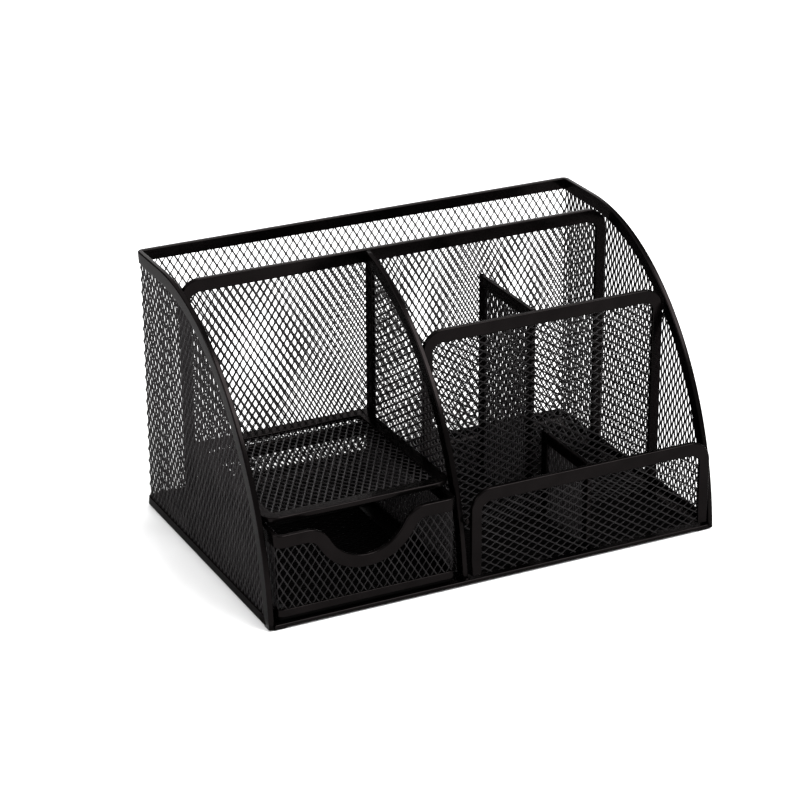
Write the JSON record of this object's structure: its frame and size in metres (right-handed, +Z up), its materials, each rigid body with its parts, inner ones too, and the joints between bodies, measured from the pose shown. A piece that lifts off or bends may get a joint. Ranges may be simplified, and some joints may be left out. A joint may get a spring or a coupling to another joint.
{
  "type": "desk organizer",
  "caption": "Steel-mesh desk organizer with curved sides: a letter slot across the back, a shelf over a sliding drawer, and upright cups and low bins beside it.",
  "frame": {"origin": "middle of the footprint, on the plane that the four feet stand on", "axes": "+X to the right along the front edge, +Y from the front to the back, +Z up; the drawer opens towards -Y"},
  "size_m": [0.222, 0.142, 0.127],
  "materials": {
    "powder_coated_steel": "satin black powder coat on folded sheet steel",
    "steel_mesh": "satin black powder coat on expanded steel mesh",
    "foot_rubber": "matte black rubber"
  },
  "bodies": {
    "organizer": {"base_rim": "powder_coated_steel", "base_mesh": "steel_mesh", "left_base_band": "powder_coated_steel", "right_base_band": "powder_coated_steel", "back_base_band": "powder_coated_steel", "foot_front_left": "foot_rubber", "foot_front_right": "foot_rubber", "foot_back_left": "foot_rubber", "foot_back_right": "foot_rubber", "left_side_mesh": "steel_mesh", "left_side_rim": "powder_coated_steel", "right_side_mesh": "steel_mesh", "right_side_rim": "powder_coated_steel", "back_mesh": "steel_mesh", "back_top_rim": "powder_coated_steel", "rear_divider_mesh": "steel_mesh", "rear_divider_rim": "powder_coated_steel", "cup_divider_mesh": "steel_mesh", "cup_divider_rim": "powder_coated_steel", "front_panel_mesh": "steel_mesh", "front_panel_rim": "powder_coated_steel", "middle_partition_mesh": "steel_mesh", "middle_partition_rim": "powder_coated_steel", "pen_partition_mesh": "steel_mesh", "pen_partition_rim": "powder_coated_steel", "bin_partition_mesh": "steel_mesh", "bin_partition_rim": "powder_coated_steel", "shelf_mesh": "steel_mesh", "shelf_rim": "powder_coated_steel"},
    "drawer": {"drawer_front_mesh": "steel_mesh", "drawer_front_rim": "powder_coated_steel", "drawer_front_band": "powder_coated_steel", "drawer_back_mesh": "steel_mesh", "drawer_back_rim": "powder_coated_steel", "drawer_back_band": "powder_coated_steel", "drawer_left_mesh": "steel_mesh", "drawer_left_rim": "powder_coated_steel", "drawer_left_band": "powder_coated_steel", "drawer_right_mesh": "steel_mesh", "drawer_right_rim": "powder_coated_steel", "drawer_right_band": "powder_coated_steel", "drawer_floor_mesh": "steel_mesh", "drawer_floor_rim": "powder_coated_steel"}
  },
  "joints": [
    {"name": "drawer_slide", "type": "slide", "parent": "organizer", "child": "drawer", "axis": [0, -1, 0], "range_m": [0, 0.08]}
  ]
}
